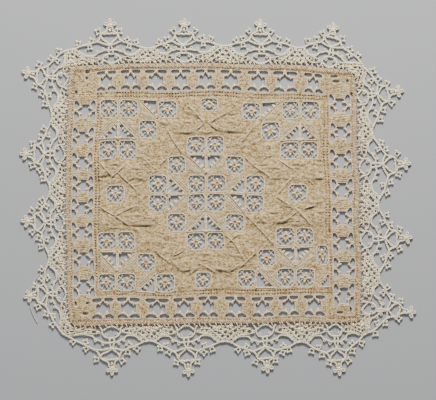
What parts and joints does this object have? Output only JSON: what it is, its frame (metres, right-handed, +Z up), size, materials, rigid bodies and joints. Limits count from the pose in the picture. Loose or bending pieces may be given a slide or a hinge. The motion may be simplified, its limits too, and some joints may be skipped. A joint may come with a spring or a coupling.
{
  "type": "lace square",
  "caption": "Flat cutwork linen square with a ladder border and needle-made rosettes, with a pointed bobbin lace edging sewn round its hem.",
  "frame": {"origin": "middle of the whole piece, at the surface it lies on", "axes": "+Z up from the surface, +X along the top edge, +Y from the bottom edge to the top edge"},
  "size_m": [0.2567, 0.2327, 0.0019],
  "materials": {
    "linen": "matt, closely woven linen with stitched ribs and drawn-thread rows, aged beige",
    "lace_thread": "matt ivory linen thread, plaited and woven"
  },
  "bodies": {
    "root": {"linen": "linen", "edging": "lace_thread"}
  },
  "joints": []
}
